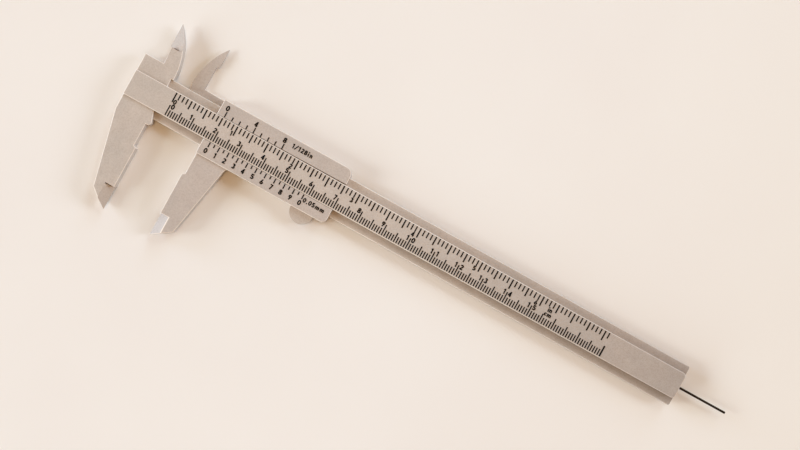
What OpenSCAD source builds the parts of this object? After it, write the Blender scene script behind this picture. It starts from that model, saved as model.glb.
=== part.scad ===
// Plastic sliding vernier caliper, 150 mm, with metric and inch scales, a depth rod and a thumb brake.
// Frame: the origin is on the flat back, on the beam's centre line, in the plane of the fixed
// measuring face. +X runs along the beam to its tail, +Y to the inside jaws, +Z out of the scales.

/* [Reading] */
// Jaw opening, which is the reading on both scales
opening = 19.4; // [0:0.05:150]

/* [Beam] */
// Length from the measuring face to the tail end
beam_l = 214.6; // [214.6:0.2:220]
// Length of the head behind the measuring face
head_l = 13.5; // [13.5:0.1:15]
// Width of the base plate that the slider runs on
base_w = 16; // [15.8:0.1:16.2]
// Thickness of the base plate
base_t = 1.9; // [1.8:0.1:2.2]
// Width of the raised rib that carries the scales
rib_w = 10; // [9.8:0.1:10.2]
// Height of the rib above the base plate
rib_h = 1.7; // [1.5:0.1:1.9]

/* [Slider] */
// Length of the slider
slider_l = 53.6; // [53:0.2:54.4]
// Width of the slider across the beam
slider_w = 22; // [21.8:0.1:22.4]
// Thickness of the slider's back plate
back_t = 1.2; // [1.1:0.1:1.4]

/* [Jaws] */
// Reach of the outside jaws below the centre line
jaw_reach = 45.6; // [44:0.2:47]
// Reach of the inside jaws above the centre line
blade_reach = 27.8; // [26.5:0.1:28]
// Drop from the scale face to the face of the jaws
jaw_step = 0.6; // [0.5:0.1:0.8]

/* [Depth rod] */
// Diameter of the depth rod
rod_d = 0.85; // [0.8:0.05:1]

/* [Thumb brake] */
// Radius of the half-round thumb pad
pad_r = 4.65; // [4.4:0.05:4.8]

/* [Scales] */
// Distance from the measuring face to the zero mark
scale_zero = 3.76; // [3.5:0.02:4]
// Width of a graduation mark
mark_w = 0.46; // [0.4:0.02:0.5]
// Height of the large numerals
numeral_h = 1.95; // [1.8:0.05:2.05]

/* [Hidden] */

plastic = [0.74, 0.67, 0.60];
steel = [0.55, 0.54, 0.52];
brass = [0.72, 0.58, 0.30];
ink = [0.10, 0.09, 0.08];
eps = 0.01;
over = 1;               // how far cuts run past what they cut
$fn = 48;

// Clearances
run_gap = 0.1;          // slider to beam, on every side
lip_taper = 0.3;        // added to the upper lip's gap at the slider's right end
fit_gap = 0.03;         // the shoe to the beam's edge, and the spring to its seat
pin_gap = 0.03;         // radial running clearance of the brake lever on its pin

// Heights above the flat back
z_base = back_t + run_gap;
z_flange = z_base + base_t;
z_face = z_flange + rib_h;
z_jaw = z_face - jaw_step;
z_edge = z_jaw / 2;     // the knife edges of the outside jaws and of the fixed inside jaw
z_arm = 1.3;            // front of the moving inside jaw and of the arm that carries it
edge_land = 0.3;        // thickness left on a knife edge

// Plan of the head and outside jaws
base_y = base_w / 2;
rib_y = rib_w / 2;
slider_y = slider_w / 2;
head_top = 11.75;
head_x = -0.7;          // the head's end wall on both flanges
relief_y = -20.2;       // the measuring faces end here, and step back above it
jaw_relief = 1;
tip_y = -36.5;          // below this the outside jaws thin to knife edges
tip_w = 3.6;            // width of the bevels that thin them
step_slot_w = 0.35;     // a slot at the foot of the step to the bevel, in both fixed jaws
step_slot_l = 2.2;
step_slot_x = 1.7;      // from the fixed inside jaw's edge to its slot
step_slot_z = 2.6;      // its floor
fixed_foot = [-6.85, -39.8];
moving_foot = [7.5, -40.5];
moving_root = 13.2;     // the moving outside jaw's right side where it leaves the slider
root_fillet = 1.5;
nub_r = 1.25;           // the rounded nub below the head's end wall
nub_y = -9.6;
nub_x = -0.55;

// Inside jaws. Closed, the moving one lies beside the fixed one, and its arm passes behind the head.
blade_x = -7.15;        // both measuring edges, at an opening of 0
blade_y = 18.2;         // the fixed measuring edge starts here
moving_blade_y = 19.6;  // and the moving one here
blade_relief = 1.2;
blade_bevel = 5.2;      // width of the bevels that thin them
fixed_side_x = 0.2;     // furthest point of the fixed one's curved side
fixed_side_y = 8;
moving_side_x = -13.45;
moving_side_y = 10;
blade_step = 0.3;       // rise of the slanted steps at the edges' inner ends
arm_y = 10.5;           // top edge of the arm

// Slider
slider_x = 0.8;         // the slider's left end, at an opening of 0
corner_r = 2;           // right corners, below the scales
top_corner_r = 2.6;     // and above them
root_inset = 0.15;      // from the jaw's side to the fillet's end

// Depth rod and its anchor
rod_y = -0.5;
rod_z = z_base + 0.75;
rod_r = rod_d / 2;
rod_start = 31;         // the rod's held end, at an opening of 0
rod_chamfer = 0.15;
anchor_x = 27;
anchor_l = 9;
anchor_w = 2;
anchor_h = 1.6;
anchor_screw_x = anchor_x + 1.9;
groove_depth = 1.75;
groove_x = 24;
narrow_x = beam_l - 24; // from here to the tail the groove only has to pass the rod

// Screws
screw_r = 0.6;
screw_head_r = 1.15;
screw_head_h = 0.6;
slot_w = 0.3;
slot_depth = 0.28;
head_gap = 0.05;        // radial, round a screw's head
stop_screw_z = 0.2;     // the tail stop's screw heads lie this far in
stop_screw_bite = 0.5;  // and their tips end this far above the flanges
anchor_screw_z = 0.15;
anchor_screw_bite = 1.2;
tip_room = 0.1;         // beyond a screw's tip

// Tail stop
stop_l = 8.6;
stop_end_gap = 0.6;     // from the stop to the beam's tail end
stop_x = beam_l - stop_l - stop_end_gap;
stop_w = 13;
stop_screw_x = stop_x + stop_l / 2;
stop_screw_y = 4.3;
stop_corner_r = 1;
tail_r = 0.8;           // corners of the base plate at the tail
rib_tail_r = 1.3;       // and of the rib

// Thumb brake, at an opening of 0
pivot_x = 36;
pivot_y = -9.3;
pivot_r = 0.6;
boss_r = 1.13;
arm_top = -8.7;
arm_under = -9.55;      // flat underside of the shoe's arm, where the spring bears
arm_flat_x = 31.5;      // the flat's end
arm_root = -9.9;        // underside of the shoe's arm at the pin
pad_arm_top = -9.3;     // the pad's arm at its end
pad_arm_under = -10.2;
pad_x = 44.9;
pad_y = -slider_y - 0.15;
lever_z = 1.45;
lever_t = 1.65;
slot_x = 24.5;
slot_floor = -10.5;     // the closed part of the lever's slot ends here
pad_slot_x = 39.6;      // and from here on the slot is open for the pad
slot_end = 50.2;
shoe_x = 28;            // centre of the shoe that presses on the beam's edge
shoe_w = 3;
knurl_r = 0.14;
knurl_n = 30;
spring_t = 0.15;
spring_l = 8;
spring_x = 29.2;
lever_gap = 0.05;       // above and below the lever in its slot
spring_inset = 0.1;     // the spring is narrower than the lever by this on both sides
pin_inset = 0.1;        // the pin's end below the slider's back
pin_cover = 1;          // plastic left in front of the pin

// Scales
ink_t = 0.04;
metric_margin = 0.45;   // from the rib's lower edge to the metric marks
inch_margin = 0.35;     // from its upper edge to the inch marks
vernier_margin = 0.25;
metric_lengths = [4.2, 3.6, 2.45];     // of the ten, five and one millimetre marks
inch_lengths = [3.75, 3.3, 2.25];      // of the half, quarter and sixteenth inch marks
metric_vernier_lengths = [1.9, 1.25];  // of the numbered marks and the others
inch_vernier_lengths = [2.1, 1.5];
last_mark_extra = 0.16; // added to the width of the last metric mark
inch_mark_extra = 0.06; // added to the width of the long inch marks
inch = 25.4;
metric_vernier_step = 39 / 20;         // 20 divisions over 39 mm read to 0.05 mm
inch_vernier_step = 15 / 128 * inch;   // 8 divisions over 15/16 in read to 1/128 in

// Lettering
pen_w = 0.22;           // stroke width of a character 1 high
small_h = 1.8;          // height of the inch numerals on the rib
unit_h = 1.75;
wide = 0.15;            // added between the characters of the vernier's captions
metric_numeral_y = -0.62;
inch_numeral_y = 1.4;
numeral_shift = -1.2;   // from a long mark to the numeral before it
pair_shift = 1.15;      // from a long mark to each of two digits astride it
zero_shift = [1, -0.1]; // from the inch scale's zero mark to its numeral
first_inch_shift = -1;  // from the first inch mark to its numeral
inch_shift = -1.7;      // and from the others to theirs
unit_x = 156.6;         // from zero to the unit's name
unit_lift = 0.25;       // the metric unit's name above the metric numerals
metric_vernier_y = -8.65;              // middle of the metric vernier's numerals
metric_vernier_shift = -0.15;          // from its marks to its numerals
metric_caption = [44, -7];             // the metric vernier's caption, X from its zero
inch_vernier_y = 8.65;
inch_vernier_shift = -0.35;
inch_vernier_h = 2;
inch_caption = [30.9, 8.3];

// ---- helpers ----

// A plate from x0 to x1 and from y0 to y1, with round corners on its +X end: r0 at y0 and r1 at y1.
module round_end_2d(x0, x1, y0, y1, r0, r1) {
    translate([x0, y0]) square([x1 - x0 - r0, y1 - y0 - r1]);
    translate([x0, y0 + r0]) square([x1 - x0 - r1, y1 - y0 - r0]);
    translate([x0, y0 + r0]) square([x1 - x0, y1 - y0 - r0 - r1]);
    translate([x1 - r0, y0 + r0]) circle(r0);
    translate([x1 - r1, y1 - r1]) circle(r1);
}

// A bar along Y from y0 to y1, whose section in X and Z is the given outline.
module bar_y(y0, y1, outline) {
    translate([0, y1, 0]) rotate([90, 0, 0]) linear_extrude(y1 - y0) polygon(outline);
}

// The bevels that thin a plate from height z1 down to z2 towards a knife edge at x, from y0 to y1.
// The plate lies on the side of the edge given by side (1 or -1), and w is the bevels' width.
module knife(x, side, w, y0, y1, z1, z2) {
    slope = (z1 - z2) / w;
    bar_y(y0, y1, [[x + side * w, z1], [x - side * over, z2 - slope * over],
                   [x - side * over, z1 + sign(slope) * over], [x + side * w, z1 + sign(slope) * over]]);
}

// Radius of a circle that has a vertical tangent at p and passes through q.
function side_radius(p, q) = (pow(q[0] - p[0], 2) + pow(q[1] - p[1], 2)) / (2 * abs(q[0] - p[0]));

module screw(head_z, tip_z) {
    difference() {
        union() {
            translate([0, 0, head_z]) cylinder(r = screw_head_r, h = screw_head_h);
            translate([0, 0, head_z]) cylinder(r = screw_r, h = tip_z - head_z);
        }
        translate([-screw_head_r - over, -slot_w / 2, head_z - eps])
            cube([2 * (screw_head_r + over), slot_w, slot_depth + eps]);
    }
}

module screw_hole(head_z, tip_z) {
    translate([0, 0, -over]) cylinder(r = screw_head_r + head_gap, h = head_z + screw_head_h + over);
    cylinder(r = screw_r, h = tip_z);
}

// ---- beam: base plate, scale rib, head and both fixed jaws in one moulding ----

module fixed_jaw_2d() {
    polygon([[-head_l, base_y], [-head_l, -slider_y], fixed_foot, [0, -jaw_reach], [0, relief_y],
             [-jaw_relief, relief_y + jaw_relief / 2], [-jaw_relief, nub_y],
             [head_x, nub_y], [head_x, base_y]]);
    translate([nub_x, nub_y]) circle(nub_r);
    polygon([[head_x, -rib_y], [head_x, nub_y], [nub_x + nub_r * cos(20), nub_y + nub_r * sin(20)]]);
}

module fixed_blade_2d() {
    r = side_radius([fixed_side_x, fixed_side_y], [blade_x, blade_reach]);
    intersection() {
        translate([fixed_side_x - r, fixed_side_y]) circle(r, $fn = 180);
        polygon([[blade_x + blade_relief, base_y], [fixed_side_x + over, base_y],
                 [fixed_side_x + over, blade_reach + over], [blade_x, blade_reach + over],
                 [blade_x, blade_y + blade_step], [blade_x + blade_relief, blade_y - blade_step / 2]]);
    }
}

module beam() {
    color(plastic) difference() {
        union() {
            // base plate and rib
            translate([0, 0, z_base]) linear_extrude(base_t)
                round_end_2d(-head_l / 2, beam_l, -base_y, base_y, tail_r, tail_r);
            translate([0, 0, z_base + eps]) linear_extrude(base_t + rib_h - eps)
                round_end_2d(-head_l, beam_l, -rib_y, rib_y, rib_tail_r, rib_tail_r);
            // head, outside jaw and inside jaw
            linear_extrude(z_jaw) fixed_jaw_2d();
            linear_extrude(z_jaw) fixed_blade_2d();
            translate([-head_l, 0, z_edge]) cube([head_l + head_x, head_top, z_jaw - z_edge]);
        }
        // channel behind the head for the moving inside jaw and its arm
        translate([-head_l - over, base_y, -over])
            cube([head_l + fixed_side_x + 2 * over, arm_y + run_gap - base_y, z_arm + run_gap + over]);
        translate([-head_l - over, base_y, -over])
            cube([head_l + over + blade_x + blade_relief, head_top + over - base_y, z_arm + run_gap + over]);
        knife(0, -1, tip_w, -jaw_reach - over, tip_y, z_jaw, z_edge + edge_land / 2);
        knife(0, -1, tip_w, -jaw_reach - over, tip_y, 0, z_edge - edge_land / 2);
        knife(blade_x, 1, blade_bevel, blade_y, blade_reach + over, z_jaw, z_edge + edge_land / 2);
        knife(blade_x, 1, blade_bevel, blade_y, blade_reach + over, 0, z_edge - edge_land / 2);
        translate([-tip_w, tip_y - step_slot_w, step_slot_z]) cube([step_slot_l, step_slot_w, z_jaw]);
        translate([blade_x + step_slot_x, blade_y, step_slot_z])
            cube([step_slot_l, step_slot_w, z_jaw]);
        // groove for the depth rod, wide where its anchor runs
        translate([groove_x, rod_y - anchor_w / 2 - run_gap, 0])
            cube([narrow_x - groove_x, anchor_w + 2 * run_gap, z_base + groove_depth]);
        translate([narrow_x - over, rod_y - rod_r - run_gap, 0])
            cube([beam_l - narrow_x + 2 * over, rod_d + 2 * run_gap, rod_z + rod_r + run_gap]);
        for (y = [-1, 1]) translate([stop_screw_x, y * stop_screw_y, 0])
            cylinder(r = screw_r, h = z_flange + stop_screw_bite + tip_room);
    }
}

// ---- tail stop: keeps the slider on the beam, covers the rod's groove and is the rear foot ----

module stop_half_2d(x0) {
    round_end_2d(x0, x0 + stop_l / 2, -stop_w / 2, stop_w / 2, stop_corner_r, stop_corner_r);
}

module tail_stop() {
    color(plastic) difference() {
        linear_extrude(z_base) union() {
            stop_half_2d(stop_x + stop_l / 2);
            mirror([1, 0]) stop_half_2d(-stop_x - stop_l / 2);
        }
        for (y = [-1, 1]) translate([stop_screw_x, y * stop_screw_y, 0])
            screw_hole(stop_screw_z, z_base + over);
    }
}

module tail_stop_screws() {
    color(steel)
    for (y = [-1, 1]) translate([stop_screw_x, y * stop_screw_y, 0])
        screw(stop_screw_z, z_flange + stop_screw_bite);
}

// ---- slider: back plate, side walls, front lips and both moving jaws in one moulding ----

module moving_jaw_2d() {
    polygon([[0, -jaw_reach], moving_foot, [moving_root, -slider_y], [moving_root, -base_y - over],
             [jaw_relief, -base_y - over], [jaw_relief, relief_y + jaw_relief / 2], [0, relief_y]]);
    difference() {
        translate([moving_root - over, -slider_y - root_fillet]) square(root_fillet + over);
        translate([moving_root + root_fillet - root_inset, -slider_y - root_fillet]) circle(root_fillet);
    }
}

module moving_blade_2d() {
    r = side_radius([moving_side_x, moving_side_y], [blade_x, blade_reach]);
    intersection() {
        translate([moving_side_x + r, moving_side_y]) circle(r, $fn = 180);
        polygon([[moving_side_x - over, moving_side_y], [blade_x - blade_relief, moving_side_y],
                 [blade_x - blade_relief, moving_blade_y], [blade_x, moving_blade_y + 1.5 * blade_step],
                 [blade_x, blade_reach + over], [moving_side_x - over, blade_reach + over]]);
    }
    translate([moving_side_x, base_y + run_gap])
        square([slider_x + over - moving_side_x, arm_y - base_y - run_gap]);
}

module brake_slot() {
    z0 = lever_z - lever_gap;
    height = lever_t + 2 * lever_gap;
    translate([slot_x, slot_floor, z0]) cube([slot_end - slot_x, -base_y - slot_floor, height]);
    translate([pad_slot_x, -slider_y - over, z0])
        cube([slot_end - pad_slot_x, slider_y - base_y + over, height]);
}

module slider() {
    window_l = slider_x + slider_l + over;
    color(plastic) translate([opening, 0, 0]) difference() {
        union() {
            linear_extrude(z_face)
                round_end_2d(slider_x, slider_x + slider_l, -slider_y, slider_y, corner_r, top_corner_r);
            linear_extrude(z_jaw) moving_jaw_2d();
            linear_extrude(z_arm) moving_blade_2d();
        }
        // channel for the base plate, and the window for the rib
        translate([-eps, -base_y - run_gap, back_t])
            cube([window_l, base_w + 2 * run_gap, z_flange + run_gap - back_t]);
        translate([0, 0, back_t]) linear_extrude(z_face)
            polygon([[-eps, -rib_y - run_gap], [window_l, -rib_y - run_gap],
                     [window_l, rib_y + run_gap + lip_taper], [slider_x, rib_y + run_gap],
                     [-eps, rib_y + run_gap]]);
        knife(0, 1, tip_w, -jaw_reach - over, tip_y, z_jaw, z_edge + edge_land / 2);
        knife(0, 1, tip_w, -jaw_reach - over, tip_y, 0, z_edge - edge_land / 2);
        knife(blade_x, -1, blade_bevel, moving_blade_y, blade_reach + over, 0, z_arm - edge_land);
        brake_slot();
        translate([pivot_x, pivot_y, -over]) cylinder(r = pivot_r, h = z_face - pin_cover + over);
        translate([anchor_screw_x, rod_y, 0]) screw_hole(anchor_screw_z, back_t + over);
    }
}

// ---- depth rod, fixed to the slider by an anchor that runs in the beam's groove ----

module depth_rod() {
    color(steel) translate([opening + rod_start, rod_y, rod_z]) rotate([0, 90, 0]) {
        cylinder(r = rod_r, h = beam_l - rod_start - rod_chamfer);
        translate([0, 0, beam_l - rod_start - rod_chamfer])
            cylinder(r1 = rod_r, r2 = rod_r - rod_chamfer, h = rod_chamfer);
    }
}

module rod_anchor() {
    color(brass) translate([opening, 0, 0]) difference() {
        translate([anchor_x, rod_y - anchor_w / 2, back_t]) cube([anchor_l, anchor_w, anchor_h]);
        translate([rod_start, rod_y, rod_z]) rotate([0, 90, 0]) cylinder(r = rod_r, h = anchor_l);
        translate([anchor_screw_x, rod_y, 0])
            cylinder(r = screw_r, h = back_t + anchor_screw_bite + tip_room);
    }
}

module rod_anchor_screw() {
    color(steel) translate([opening + anchor_screw_x, rod_y, 0])
        screw(anchor_screw_z, back_t + anchor_screw_bite);
}

// ---- thumb brake: a sprung lever whose shoe presses on the beam's edge until the pad is pushed in ----

module brake_pivot_pin() {
    color(steel) translate([opening + pivot_x, pivot_y, pin_inset])
        cylinder(r = pivot_r, h = z_face - pin_inset - pin_cover);
}

module lever_2d() {
    shoe_top = -base_y - fit_gap;
    difference() {
        union() {
            translate([pivot_x, pivot_y]) circle(boss_r);
            // arm to the shoe, then the shoe
            polygon([[shoe_x - shoe_w / 2, arm_top], [shoe_x - shoe_w / 2, arm_under],
                     [arm_flat_x, arm_under], [pivot_x, arm_root], [pivot_x, arm_top]]);
            translate([shoe_x - shoe_w / 2, arm_under]) square([shoe_w, shoe_top - arm_under]);
            // arm to the pad, then the pad's neck
            polygon([[pivot_x, arm_top], [pivot_x, pad_arm_under], [pad_x + pad_r, pad_arm_under],
                     [pad_x + pad_r, pad_arm_top]]);
            translate([pad_x - pad_r, pad_y]) square([2 * pad_r, pad_arm_under + knurl_r - pad_y]);
            // half-round pad
            intersection() {
                translate([pad_x, pad_y]) circle(pad_r, $fn = 96);
                translate([pad_x - pad_r, pad_y - pad_r]) square([2 * pad_r, pad_r + eps]);
            }
        }
        translate([pivot_x, pivot_y]) circle(pivot_r + pin_gap);
        for (i = [1:knurl_n - 1]) {
            a = 180 + i * 180 / knurl_n;
            translate([pad_x + pad_r * cos(a), pad_y + pad_r * sin(a)]) circle(knurl_r, $fn = 16);
        }
    }
}

module thumb_brake() {
    color(plastic) translate([opening, 0, lever_z]) linear_extrude(lever_t) lever_2d();
}

// Bowed leaf spring between the slot's floor and the lever's shoe end.
module brake_spring() {
    rise = arm_under - slot_floor - 2 * fit_gap;
    r = (pow(spring_l / 2, 2) + pow(rise, 2)) / (2 * rise);
    color(steel) translate([opening + spring_x, slot_floor + fit_gap, lever_z + spring_inset])
        linear_extrude(lever_t - 2 * spring_inset) intersection() {
            difference() {
                translate([0, rise - r]) circle(r, $fn = 96);
                translate([0, rise - r]) circle(r - spring_t, $fn = 96);
            }
            translate([-spring_l / 2, 0]) square([spring_l, rise + over]);
        }
}

// ---- scales ----

// Points on an elliptical arc from angle a0 to a1.
function arc(cx, cy, rx, ry, a0, a1, n = 10) =
    [for (i = [0:n]) let (a = a0 + (a1 - a0) * i / n) [cx + rx * cos(a), cy + ry * sin(a)]];

function unit(v) = v / norm(v);
function left(v) = [-v[1], v[0]];
// The offset direction at point i of a line, longer on the outside of a bend so that the pen keeps its width.
function pen_side(p, i) =
    let (n = len(p) - 1,
         a = left(unit(p[min(i + 1, n)] - p[min(i, n - 1)])),
         b = left(unit(p[max(i, 1)] - p[max(i - 1, 0)])))
    (a + b) / (1 + a * b);

// A pen line of width w along the points p.
module pen(p, w) {
    n = len(p) - 1;
    polygon(concat([for (i = [0:n]) p[i] - pen_side(p, i) * w / 2],
                   [for (i = [n:-1:0]) p[i] + pen_side(p, i) * w / 2]));
}

module pen_ring(cx, cy, rx, ry, w) {
    difference() {
        polygon(arc(cx, cy, rx + w / 2, ry + w / 2, 0, 345, 23));
        polygon(arc(cx, cy, rx - w / 2, ry - w / 2, 0, 345, 23));
    }
}

// One character, 1 unit high, centred on x = 0 and standing on y = 0.
module glyph(c, w = pen_w) {
    h = w / 2;
    if (c == "0") pen_ring(0, 0.5, 0.23, 0.5 - h, w);
    if (c == "1") {
        pen([[0.06, 0], [0.06, 1]], w);
        pen([[-0.16, 0.76], [0.08, 0.96]], w);
    }
    if (c == "2") {
        pen(concat(arc(0, 0.7, 0.22, 0.3 - h, 165, -35), [[-0.22, h]]), w);
        pen([[-0.29, h], [0.28, h]], w);
    }
    if (c == "3") {
        pen(arc(-0.03, 0.74, 0.19, 0.26 - h, 150, -90), w);
        pen(arc(-0.03, 0.29, 0.24, 0.29 - h, 90, -150), w);
    }
    if (c == "4") {
        pen([[0.1, 0], [0.1, 1]], w);
        pen([[0.08, 0.95], [-0.25, 0.28]], w);
        pen([[-0.3, 0.28], [0.28, 0.28]], w);
    }
    if (c == "5") {
        pen([[0.22, 1 - h], [-0.2, 1 - h]], w);
        pen([[-0.16, 0.98], [-0.2, 0.5]], w);
        pen(arc(-0.03, 0.33, 0.24, 0.33 - h, 130, -150), w);
    }
    if (c == "6") {
        pen_ring(0, 0.3, 0.21, 0.3 - h, w);
        pen([[-0.18, 0.38], [0.1, 0.98]], w);
    }
    if (c == "7") {
        pen([[-0.25, 1 - h], [0.27, 1 - h]], w);
        pen([[0.2, 0.95], [-0.1, 0]], w);
    }
    if (c == "8") {
        pen_ring(0, 0.72, 0.19, 0.28 - h, w);
        pen_ring(0, 0.29, 0.23, 0.29 - h, w);
    }
    if (c == "9") {
        pen_ring(0, 0.7, 0.21, 0.3 - h, w);
        pen([[0.18, 0.62], [-0.1, 0.02]], w);
    }
    if (c == "/") pen([[-0.27, 0], [0.27, 1]], w);
    if (c == ".") translate([-h, 0]) square(w);
    if (c == "c") pen(arc(0, 0.33, 0.23, 0.33 - h, 50, 310, 14), w);
    if (c == "i") {
        pen([[0, 0], [0, 0.64]], w);
        translate([-h, 0.78]) square(w);
    }
    if (c == "n") {
        pen([[-0.17, 0], [-0.17, 0.66]], w);
        pen(concat(arc(0, 0.4, 0.17, 0.26 - h, 165, 0, 8), [[0.17, 0]]), w);
    }
    if (c == "m") {
        pen([[-0.34, 0], [-0.34, 0.66]], w);
        for (x = [-0.17, 0.17]) pen(concat(arc(x, 0.42, 0.17, 0.24 - h, 165, 0, 8), [[x + 0.17, 0]]), w);
    }
}

// Characters set in a row, centred on x = 0, with their middle at y = 0 and extra space between them.
function advance(c) = c == "m" ? 0.98 : c == "." || c == "i" ? 0.36 : c == "1" ? 0.5 : 0.64;
function reach(s, n, extra) = n == 0 ? 0 : advance(s[n - 1]) + extra + reach(s, n - 1, extra);
module label(s, h, extra = 0) {
    scale(h) translate([-reach(s, len(s), extra) / 2, -0.5])
        for (i = [0:len(s) - 1])
            translate([reach(s, i, extra) + (advance(s[i]) + extra) / 2, 0]) glyph(s[i]);
}

module mark(x, y, l, w = mark_w) {
    translate([x - w / 2, y]) square([w, l]);
}

module print_layer() {
    color(ink) translate([0, 0, z_face]) linear_extrude(ink_t) children();
}

module metric_graduations() {
    print_layer()
        for (i = [0:180]) {
            l = metric_lengths[i % 10 == 0 ? 0 : i % 5 == 0 ? 1 : 2];
            mark(scale_zero + i, -rib_y + metric_margin, l, i == 180 ? mark_w + last_mark_extra : mark_w);
        }
}

module metric_numerals() {
    print_layer() translate([scale_zero, metric_numeral_y]) {
        translate([-numeral_shift, 0]) label("0", numeral_h);
        for (i = [1:9]) translate([10 * i + numeral_shift, 0]) label(str(i), numeral_h);
        for (i = [10:15]) {
            translate([10 * i - pair_shift, 0]) label("1", numeral_h);
            translate([10 * i + pair_shift, 0]) label(str(i - 10), numeral_h);
        }
        translate([unit_x, unit_lift]) label("cm", unit_h);
    }
}

module inch_graduations() {
    print_layer()
        for (i = [0:113]) {
            l = inch_lengths[i % 8 == 0 ? 0 : i % 4 == 0 ? 1 : 2];
            mark(scale_zero + i * inch / 16, rib_y - inch_margin - l, l,
                 i % 4 == 0 ? mark_w + inch_mark_extra : mark_w);
        }
}

module inch_numerals() {
    print_layer() translate([scale_zero, inch_numeral_y]) {
        translate(zero_shift) label("0", small_h);
        translate([inch + first_inch_shift, 0]) label("1", small_h);
        for (i = [2:6]) translate([i * inch + inch_shift, 0]) label(str(i), small_h);
        translate([unit_x, 0]) label("in", small_h);
    }
}

module metric_vernier_marks() {
    translate([opening, 0, 0]) print_layer()
        for (i = [0:20]) {
            l = metric_vernier_lengths[i % 2];
            mark(scale_zero + i * metric_vernier_step, -rib_y - vernier_margin - l, l);
        }
}

module metric_vernier_numerals() {
    translate([opening + scale_zero, 0, 0]) print_layer() {
        for (i = [0:10])
            translate([2 * i * metric_vernier_step + metric_vernier_shift, metric_vernier_y])
                label(str(i % 10), numeral_h);
        translate(metric_caption) label("0.05mm", unit_h, wide);
    }
}

module inch_vernier_marks() {
    translate([opening, 0, 0]) print_layer()
        for (i = [0:8]) {
            l = inch_vernier_lengths[i % 4 == 0 ? 0 : 1];
            mark(scale_zero + i * inch_vernier_step, rib_y + vernier_margin, l);
        }
}

module inch_vernier_numerals() {
    translate([opening + scale_zero, 0, 0]) print_layer() {
        for (i = [0, 4, 8])
            translate([i * inch_vernier_step + inch_vernier_shift, inch_vernier_y])
                label(str(i), inch_vernier_h);
        translate(inch_caption) label("1/128in", unit_h, wide);
    }
}

beam();
tail_stop();
tail_stop_screws();
metric_graduations();
metric_numerals();
inch_graduations();
inch_numerals();
slider();
depth_rod();
rod_anchor();
rod_anchor_screw();
brake_pivot_pin();
brake_spring();
metric_vernier_marks();
metric_vernier_numerals();
inch_vernier_marks();
inch_vernier_numerals();
thumb_brake();
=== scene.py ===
"""The looks of a plastic vernier caliper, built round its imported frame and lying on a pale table."""

import math

import bpy
from mathutils import Matrix, Vector


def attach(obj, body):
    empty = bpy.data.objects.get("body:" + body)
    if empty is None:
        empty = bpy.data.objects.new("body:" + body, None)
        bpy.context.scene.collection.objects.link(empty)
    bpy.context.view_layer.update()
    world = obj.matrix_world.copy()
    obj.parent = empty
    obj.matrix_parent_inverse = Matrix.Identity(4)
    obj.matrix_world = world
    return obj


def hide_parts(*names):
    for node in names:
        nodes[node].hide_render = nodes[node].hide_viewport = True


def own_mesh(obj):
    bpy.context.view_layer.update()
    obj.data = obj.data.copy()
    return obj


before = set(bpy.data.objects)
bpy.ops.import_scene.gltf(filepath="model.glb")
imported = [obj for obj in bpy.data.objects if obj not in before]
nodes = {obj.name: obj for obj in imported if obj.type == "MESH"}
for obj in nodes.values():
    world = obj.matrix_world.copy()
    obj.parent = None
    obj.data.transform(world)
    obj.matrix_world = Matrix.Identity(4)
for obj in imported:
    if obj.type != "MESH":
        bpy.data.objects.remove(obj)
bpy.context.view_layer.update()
MM = 0.001


# ---- colours ----

def linear(r, g, b):
    """An 8-bit sRGB colour as the linear RGBA that shaders take."""
    def channel(v):
        v /= 255
        return v / 12.92 if v <= 0.04045 else ((v + 0.055) / 1.055) ** 2.4
    return (channel(r), channel(g), channel(b), 1.0)


PLASTIC = linear(193, 180, 167)
PLASTIC_WARM = linear(198, 183, 169)
PLASTIC_COOL = linear(189, 178, 166)
# Lighter plastic: rubbed wear, and the painted highlight on rounded edges
PLASTIC_WEAR_AND_HIGHLIGHT = linear(236, 222, 206)
PLASTIC_SPECK = linear(168, 151, 134)
INK = linear(12, 10, 9)
INK_FADED = linear(44, 36, 32)
WIRE = linear(52, 41, 32)
STEEL = linear(168, 165, 160)
BRASS = linear(196, 160, 92)
TABLE = linear(237, 231, 222)
TABLE_SHADE = linear(235, 228, 219)

# Tints, which another colour is multiplied by.
WHITE = linear(255, 255, 255)
# Painted sheen: darkens the plastic towards the tail, lighter at the head where the light's sheen
# falls
SHEEN_FALLOFF = linear(223, 221, 221)
SLIDER_TONE = linear(247, 247, 249)
# Painted shadow of the rib on the lower flange
RIB_SHADOW_PAINT = linear(218, 214, 210)
# Painted shade: the light's falloff on the table past the tail
TABLE_FALLOFF_SHADE = linear(249, 246, 241)


# ---- node trees ----

class NodeTree:
    """Nodes and the links between them."""

    def __init__(self, tree):
        self.tree = tree

    def add(self, kind, **settings):
        node = self.tree.nodes.new(kind)
        for key, value in settings.items():
            setattr(node, key, value)
        return node

    def feed(self, socket, value):
        """Links a socket to another node's, or sets its value."""
        if isinstance(value, bpy.types.NodeSocket):
            self.tree.links.new(value, socket)
        else:
            socket.default_value = value

    def math(self, operation, a, b):
        node = self.add("ShaderNodeMath", operation=operation)
        self.feed(node.inputs[0], a)
        self.feed(node.inputs[1], b)
        return node.outputs[0]

    def product(self, first, *others):
        result = first
        for factor in others:
            result = self.math("MULTIPLY", result, factor)
        return result

    def split(self, vector):
        """A vector's X, Y and Z."""
        node = self.add("ShaderNodeSeparateXYZ")
        self.feed(node.inputs[0], vector)
        return tuple(node.outputs)


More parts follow.
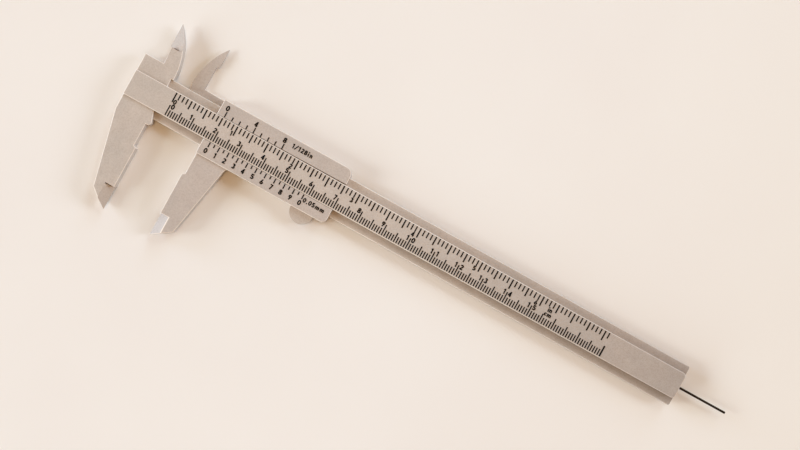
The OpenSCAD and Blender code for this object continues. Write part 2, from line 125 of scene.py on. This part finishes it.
class Shader(NodeTree):
    """A material's node tree, with one call per kind of node."""

    def __init__(self, name):
        self.material = bpy.data.materials.new(name)
        self.material.use_nodes = True
        super().__init__(self.material.node_tree)
        self.surface = self.tree.nodes["Principled BSDF"]
        self.place = self.add("ShaderNodeTexCoord").outputs["Object"]

    def noise(self, size, detail=3.0, roughness=0.55, stretch=(1, 1, 1)):
        """Noise whose features are about size metres across, stretched along each axis."""
        mapping = self.add("ShaderNodeMapping")
        self.feed(mapping.inputs["Vector"], self.place)
        mapping.inputs["Scale"].default_value = [1 / s for s in stretch]
        node = self.add("ShaderNodeTexNoise")
        self.feed(node.inputs["Vector"], mapping.outputs["Vector"])
        node.inputs["Scale"].default_value = 1 / size
        node.inputs["Detail"].default_value = detail
        node.inputs["Roughness"].default_value = roughness
        return node.outputs["Fac"]

    def ramp(self, value, low, high, to_low=0.0, to_high=1.0):
        """Maps low..high to to_low..to_high, and clamps."""
        node = self.add("ShaderNodeMapRange", clamp=True)
        for name, v in (("Value", value), ("From Min", low), ("From Max", high),
                        ("To Min", to_low), ("To Max", to_high)):
            self.feed(node.inputs[name], v)
        return node.outputs["Result"]

    def mix(self, factor, a, b, blend="MIX"):
        node = self.add("ShaderNodeMix", data_type="RGBA", blend_type=blend)
        self.feed(node.inputs["Factor"], factor)
        self.feed(node.inputs["A"], a)
        self.feed(node.inputs["B"], b)
        return node.outputs["Result"]

    def tint(self, factor, colour, by):
        """Multiplies colour by another, as far as factor says."""
        return self.mix(factor, colour, by, blend="MULTIPLY")

    def bump(self, height, depth, strength, below=None):
        """Relief depth metres high, on top of the relief below."""
        node = self.add("ShaderNodeBump")
        node.inputs["Strength"].default_value = strength
        node.inputs["Distance"].default_value = depth
        self.feed(node.inputs["Height"], height)
        if below is not None:
            self.feed(node.inputs["Normal"], below)
        return node.outputs["Normal"]

    def finish(self, colour, roughness, normal, **values):
        self.feed(self.surface.inputs["Base Color"], colour)
        self.feed(self.surface.inputs["Roughness"], roughness)
        self.feed(self.surface.inputs["Normal"], normal)
        for name, value in values.items():
            self.feed(self.surface.inputs[name.replace("_", " ")], value)
        return self.material


class Geometry(NodeTree):
    """A geometry node group that changes attributes of the mesh it is given."""

    def __init__(self, name):
        super().__init__(bpy.data.node_groups.new(name, "GeometryNodeTree"))
        for way in ("INPUT", "OUTPUT"):
            self.tree.interface.new_socket("Geometry", in_out=way, socket_type="NodeSocketGeometry")
        self.flow = self.add("NodeGroupInput").outputs["Geometry"]
        self.end = self.add("NodeGroupOutput").inputs["Geometry"]

    def sharper_than(self, degrees, kind="Unsigned Angle"):
        """1 on edges where the faces meet at more than the given angle, else 0.

        The Signed Angle leaves out inner corners, where it is negative.
        """
        angle = self.add("GeometryNodeInputMeshEdgeAngle").outputs[kind]
        return self.math("GREATER_THAN", angle, math.radians(degrees))

    def inside(self, low, high):
        """1 where an edge's middle lies in the box from low to high, in millimetres, else 0."""
        place = self.split(self.add("GeometryNodeInputPosition").outputs["Position"])
        over = [self.math("GREATER_THAN", at, limit * MM) for at, limit in zip(place, low)]
        under = [self.math("LESS_THAN", at, limit * MM) for at, limit in zip(place, high)]
        return self.product(*over, *under)

    def store(self, name, kind, value):
        """Stores value on the edges under the given attribute name."""
        node = self.add("GeometryNodeStoreNamedAttribute", data_type=kind, domain="EDGE")
        self.feed(node.inputs["Geometry"], self.flow)
        self.feed(node.inputs["Name"], name)
        self.feed(node.inputs["Value"], value)
        self.flow = node.outputs["Geometry"]

    def finish(self):
        self.feed(self.end, self.flow)
        return self.tree


# ---- materials ----

# Where a change along an axis starts and ends.
SHEEN_FALLOFF_ALONG = (90 * MM, 210 * MM)           # X, towards the tail, along which the painted sheen falls off
OVER_BACK = (3.05 * MM, 3.15 * MM)         # Z, just below the flange's face
UNDER_RIB_TOP = (3.3 * MM, 3.7 * MM)       # Z, just above it
TOWARDS_RIB = (-7.6 * MM, -5.0 * MM)       # Y, across the lower flange
OUTSIDE_RIB = (-4.9 * MM, -4.8 * MM)       # Y, at the rib's lower side
TABLE_FADES_ALONG = (120 * MM, 320 * MM)   # X, towards the tail and past it, where painted shade of the light's falloff darkens the table


def moulded_plastic(name, tone=WHITE, rib_shadow=WHITE, lift=0.0, polish=0.0):
    """Warm grey moulded plastic with a fine spark-eroded grain.

    tone tints all of it; the second tint is painted shade, the rib's shadow on the lower flange,
    darkest beside the rib.
    lift lightens it towards the colour of rubbed wear; raised high, as on rounded edges, it paints a
    highlight there. polish smooths it.
    """
    s = Shader(name)
    patches = s.ramp(s.noise(22 * MM, detail=2), 0.35, 0.65)
    colour = s.mix(patches, PLASTIC_COOL, PLASTIC_WARM)
    mottle = s.ramp(s.noise(0.7 * MM, detail=4), 0.3, 0.7, 0.0, 0.5)
    colour = s.mix(mottle, colour, PLASTIC)
    specks = s.ramp(s.noise(0.5 * MM, detail=3, roughness=0.75), 0.42, 0.7, 0.0, 0.6)
    colour = s.mix(specks, colour, PLASTIC_SPECK)
    # Rubbed patches of lighter wear; where lift is high, as on the rounded edges, this becomes a
    # painted highlight
    wear_and_highlight = s.ramp(s.noise(5 * MM, detail=5, roughness=0.7), 0.45, 0.75, lift, lift + 0.15)
    colour = s.mix(wear_and_highlight, colour, PLASTIC_WEAR_AND_HIGHLIGHT)
    x, y, z = s.split(s.place)
    # Painted sheen: darker towards the tail, standing in for the sheen the light gives the head end
    colour = s.tint(s.ramp(x, *SHEEN_FALLOFF_ALONG), colour, SHEEN_FALLOFF)
    # Painted shade: the rib's shadow cast on the lower flange, darkest beside the rib and fading
    # outwards
    rib_shadow_mask = s.product(
        s.ramp(z, *OVER_BACK),
        s.ramp(z, *UNDER_RIB_TOP, 1.0, 0.0),
        s.ramp(y, *TOWARDS_RIB),
        s.ramp(y, *OUTSIDE_RIB, 1.0, 0.0))
    colour = s.tint(rib_shadow_mask, colour, rib_shadow)
    colour = s.tint(1.0, colour, tone)
    grain = s.noise(0.16 * MM, detail=2)
    streaks = s.noise(0.5 * MM, detail=3, stretch=(14, 1, 1))
    relief = s.bump(streaks, 0.012 * MM, 0.35)
    relief = s.bump(grain, 0.02 * MM, 0.5, relief)
    rough = s.ramp(s.noise(3 * MM, detail=4), 0.3, 0.7, 0.46 - polish, 0.58 - polish)
    return s.finish(colour, rough, relief, Specular_IOR_Level=0.5)


def printed_ink(name):
    """Pad-printed black ink, thin in places so that the print looks a little worn."""
    s = Shader(name)
    worn = s.ramp(s.noise(0.22 * MM, detail=4, roughness=0.7), 0.62, 0.8, 0.0, 0.5)
    colour = s.mix(worn, INK, INK_FADED)
    relief = s.bump(s.noise(0.1 * MM, detail=2), 0.01 * MM, 0.4)
    rough = s.ramp(s.noise(0.4 * MM), 0.3, 0.7, 0.55, 0.7)
    return s.finish(colour, rough, relief, Specular_IOR_Level=0.15)


def metal(name, base, rough_low, rough_high, stretch=(1, 1, 1)):
    """Slightly tarnished metal, with its marks drawn out along the longest stretch."""
    s = Shader(name)
    marks = s.noise(0.12 * MM, detail=4, stretch=stretch)
    tarnish = s.ramp(s.noise(2.5 * MM, detail=5, roughness=0.65), 0.4, 0.75, 0.0, 0.45)
    dull = tuple(0.55 * c for c in base[:3]) + (1.0,)
    colour = s.mix(tarnish, base, dull)
    rough = s.ramp(marks, 0.3, 0.7, rough_low, rough_high)
    return s.finish(colour, rough, s.bump(marks, 0.008 * MM, 0.5), Metallic=1.0)


def table_top(name):
    """Smooth off-white card with faint fibre and cloudy tone, and painted shade that darkens it a
    little past the tail, where the light falls off.
    """
    s = Shader(name)
    cloud = s.ramp(s.noise(120 * MM, detail=3), 0.35, 0.65)
    colour = s.mix(cloud, TABLE, TABLE_SHADE)
    along = s.split(s.place)[0]
    # Painted shade: the table a little darker past the tail, where the light falls off
    colour = s.tint(s.ramp(along, *TABLE_FADES_ALONG), colour, TABLE_FALLOFF_SHADE)
    fibre = s.noise(0.5 * MM, detail=5, roughness=0.7, stretch=(3, 1, 1))
    return s.finish(colour, 0.75, s.bump(fibre, 0.03 * MM, 0.25), Specular_IOR_Level=0.25)


beam_plastic = moulded_plastic("beam_plastic", rib_shadow=RIB_SHADOW_PAINT)
slider_plastic = moulded_plastic("slider_plastic", tone=SLIDER_TONE)
# Rounded edge faces: painted highlight, with a little wear
plastic_edge_wear_and_highlight = moulded_plastic("plastic_edge_wear_and_highlight", lift=0.8, polish=0.08)
ink = printed_ink("printed_ink")
wire = metal("drawn_wire", WIRE, 0.28, 0.42, stretch=(30, 1, 1))
steel = metal("plain_steel", STEEL, 0.25, 0.4)
brass = metal("sawn_brass", BRASS, 0.3, 0.45, stretch=(1, 8, 1))


# ---- CAD nodes: rounded edges and materials ----

ROUNDED_OVER = 28        # degrees between an edge's faces
CREASED_OVER = 35
FLAT_UNDER = 0.5
BEVEL_SEGMENTS = 3
EDGE_SLOT = 1            # the rounded faces' material slot
SAME_POINT = 0.001 * MM
INK_SPREAD = 0.03 * MM   # how far the ink of the numerals has run

# Boxes in which a moulding's edges stay sharp, as low corner and high corner in millimetres.
ALL = 300
BEAM_ZONES = [
    ((-ALL, -3, -1), (ALL, 3, 4.5)),            # the rod's groove
    ((-3.7, -46.5, -1), (0.5, -36, 5)),         # the fixed outside jaw's bevels and slot
    ((-0.2, 7.5, 3.2), (0.6, 8.4, 4.5)),        # where the flange runs into the head
    ((-8, 17.4, -1), (-2, 29, 5)),              # the fixed inside jaw's bevels and slot
    ((-14, 7.9, -1), (2, 12.5, 2.6)),           # the channel behind the head
    ((214, -9, 3), (215, 9, 3.4)),              # the flanges' ends beside the rib
]
SLIDER_ZONES = [
    ((19, -10.9, 1.15), (76, 8.3, 4.7)),        # the channel for the beam and the brake's slot
    ((19, -5.5, 4.7), (76, 5.6, 5)),            # the lips' inner edges
    ((19, -46.5, -1), (20.6, -36, 5)),          # the moving outside jaw's knife edge
    ((54, -10.5, -1), (57, -8, 1)),             # the brake pin's hole
    ((4, 10.6, -1), (13.5, 29, 5)),             # the thin moving inside jaw
]
BRAKE_ZONES = [
    ((58, -16, -1), (70, -11, 5)),              # the knurled pad
]
STOP_ZONES = [
    ((208, -6, -1), (211.5, 6, 2)),             # the screw holes
]

# Each moulding's rounding radius, the boxes in which it stays sharp, and its plastic.
MOULDINGS = {
    "beam": (0.24 * MM, BEAM_ZONES, beam_plastic),
    "slider": (0.22 * MM, SLIDER_ZONES, slider_plastic),
    "thumb_brake": (0.1 * MM, BRAKE_ZONES, beam_plastic),
    "tail_stop": (0.2 * MM, STOP_ZONES, beam_plastic),
}
FITTINGS = {
    "depth_rod": wire,
    "rod_anchor": brass,
    "rod_anchor_screw": steel,
    "brake_pivot_pin": steel,
    "brake_spring": steel,
    "tail_stop_screws": steel,
}
PRINTS = [
    "metric_graduations", "metric_numerals",
    "inch_graduations", "inch_numerals",
    "metric_vernier_marks", "metric_vernier_numerals",
    "inch_vernier_marks", "inch_vernier_numerals",
]


def rounding_weights(name, sharp_zones):
    """Marks the outer edges to be rounded, which are those outside all of the zones."""
    group = Geometry(name)
    weight = group.sharper_than(ROUNDED_OVER, "Signed Angle")
    for low, high in sharp_zones:
        weight = group.product(weight, group.math("SUBTRACT", 1.0, group.inside(low, high)))
    group.store("bevel_weight_edge", "FLOAT", weight)
    return group.finish()


def crisp_edges():
    """Shades smoothly across shallow edges and keeps the others sharp."""
    group = Geometry("crisp_edges")
    smooth = group.add("GeometryNodeSetShadeSmooth")
    group.feed(smooth.inputs["Geometry"], group.flow)
    group.flow = smooth.outputs["Geometry"]
    group.store("sharp_edge", "BOOLEAN", group.sharper_than(CREASED_OVER))
    return group.finish()


CRISP = crisp_edges()


def modify(piece, kind, **settings):
    modifier = piece.modifiers.new(kind.lower(), kind)
    for key, value in settings.items():
        setattr(modifier, key, value)


def round_edges(name, radius, sharp_zones):
    """Rounds a CAD node's outer edges. The rounded faces take the lighter edge material, a painted
    highlight with some wear.
    """
    piece = nodes[name]
    modify(piece, "WELD", merge_threshold=SAME_POINT)
    modify(piece, "DECIMATE", decimate_type="DISSOLVE", angle_limit=math.radians(FLAT_UNDER))
    modify(piece, "NODES", node_group=rounding_weights("rounding_" + name, sharp_zones))
    modify(piece, "BEVEL", limit_method="WEIGHT", width=radius, segments=BEVEL_SEGMENTS,
           material=EDGE_SLOT, use_clamp_overlap=False)
    modify(piece, "NODES", node_group=CRISP)
    modify(piece, "WEIGHTED_NORMAL", keep_sharp=True, weight=100)


def spread_ink(name):
    """Makes the strokes of a CAD node's numerals a little bolder."""
    piece = nodes[name]
    modify(piece, "WELD", merge_threshold=SAME_POINT)
    modify(piece, "DISPLACE", strength=INK_SPREAD, mid_level=0.0)


def dress(name, *materials):
    """Gives a CAD node its materials."""
    slots = nodes[name].data.materials
    slots.clear()
    for material in materials:
        slots.append(material)


def leaf_spring():
    """The brake's leaf spring: a copy of the CAD node's mesh, hung on the slider assembly's body in
    its place.
    """
    piece = bpy.data.objects.new("leaf_spring", nodes["brake_spring"].data.copy())
    bpy.context.scene.collection.objects.link(piece)
    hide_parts("brake_spring")
    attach(piece, "slider_assembly")
    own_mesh(piece)


for name, (radius, zones, plastic) in MOULDINGS.items():
    dress(name, plastic, plastic_edge_wear_and_highlight)
    round_edges(name, radius, zones)
for name, material in FITTINGS.items():
    dress(name, material)
for name in PRINTS:
    dress(name, ink)
    if name.endswith("numerals"):
        spread_ink(name)
leaf_spring()


# ---- stage ----

TABLE_HALF = 15.0             # metres from its middle to its sides
TABLE_HEIGHT = -0.03 * MM     # just below the caliper's back

# The camera stands nearly straight above the beam, turned so that the beam runs down to the right.
CAMERA_AT = Vector((105.13, 5.69, 407.2)) * MM
CAMERA_TURN = math.radians(29.02)
CAMERA_TILT_X = math.radians(-0.528)
CAMERA_TILT_Y = math.radians(1.019)
LENS = 50.0                   # these two in millimetres
SENSOR = 36.0
NEAREST = 0.01                # and these in metres
FARTHEST = 20.0

# Directions on the table as the picture shows them, and the point on it below the camera.
RIGHT = Vector((math.cos(CAMERA_TURN), math.sin(CAMERA_TURN), 0))
UP = Vector((-math.sin(CAMERA_TURN), math.cos(CAMERA_TURN), 0))
BELOW_CAMERA = Vector((CAMERA_AT.x, CAMERA_AT.y, 0))

# Soft lights far away: azimuth from the picture's right towards its top, elevation, strength, colour.
LIGHTS = {
    "left_light": (180, 20, 1.95, (0.806, 0.918, 1.0)),
    "lower_left_light": (210, 10, 1.34, (0.628, 0.809, 1.0)),
    "upper_left_light": (150, 12, 1.92, (0.536, 0.717, 1.0)),
    "right_light": (0, 18, 1.91, (0.686, 0.803, 1.0)),
    "back_light": (60, 18, 0.88, (0.512, 0.716, 1.0)),
    "upper_right_light": (45, 35, 0.61, (0.706, 0.893, 1.0)),
    "top_light": (90, 89, 0.565, (1.0, 0.62, 0.37)),
}
LIGHT_SPREAD = math.radians(20)
SURROUNDINGS_COLOUR = (1.0, 0.731, 0.44, 1.0)
SURROUNDINGS_STRENGTH = 0.35


def table():
    mesh = bpy.data.meshes.new("table")
    sides = [(-1, -1), (1, -1), (1, 1), (-1, 1)]
    corners = [(TABLE_HALF * x, TABLE_HALF * y, TABLE_HEIGHT) for x, y in sides]
    mesh.from_pydata(corners, [], [(0, 1, 2, 3)])
    piece = bpy.data.objects.new("table", mesh)
    piece.data.materials.append(table_top("table_card"))
    bpy.context.scene.collection.objects.link(piece)


def camera():
    data = bpy.data.cameras.new("camera")
    data.lens = LENS
    data.sensor_width = SENSOR
    data.clip_start = NEAREST
    data.clip_end = FARTHEST
    piece = bpy.data.objects.new("camera", data)
    turn = (Matrix.Rotation(CAMERA_TILT_Y, 4, "Y") @ Matrix.Rotation(CAMERA_TILT_X, 4, "X")
            @ Matrix.Rotation(CAMERA_TURN, 4, "Z"))
    piece.matrix_world = Matrix.Translation(CAMERA_AT) @ turn
    bpy.context.scene.collection.objects.link(piece)
    bpy.context.scene.camera = piece


def soft_light(name, azimuth, elevation, strength, colour):
    data = bpy.data.lights.new(name, "SUN")
    data.angle = LIGHT_SPREAD
    data.energy = strength
    data.color = colour
    piece = bpy.data.objects.new(name, data)
    turn = math.radians(azimuth)
    lift = math.radians(elevation)
    level = RIGHT * math.cos(turn) + UP * math.sin(turn)
    towards = level * math.cos(lift) + Vector((0, 0, math.sin(lift)))
    piece.location = BELOW_CAMERA + towards
    piece.rotation_mode = "QUATERNION"
    piece.rotation_quaternion = towards.to_track_quat("Z", "Y")
    bpy.context.scene.collection.objects.link(piece)


def surroundings():
    world = bpy.data.worlds.new("surroundings")
    world.use_nodes = True
    background = world.node_tree.nodes["Background"]
    background.inputs["Color"].default_value = SURROUNDINGS_COLOUR
    background.inputs["Strength"].default_value = SURROUNDINGS_STRENGTH
    bpy.context.scene.world = world


table()
camera()
for name, settings in LIGHTS.items():
    soft_light(name, *settings)
surroundings()
bpy.context.scene.view_settings.view_transform = "Standard"
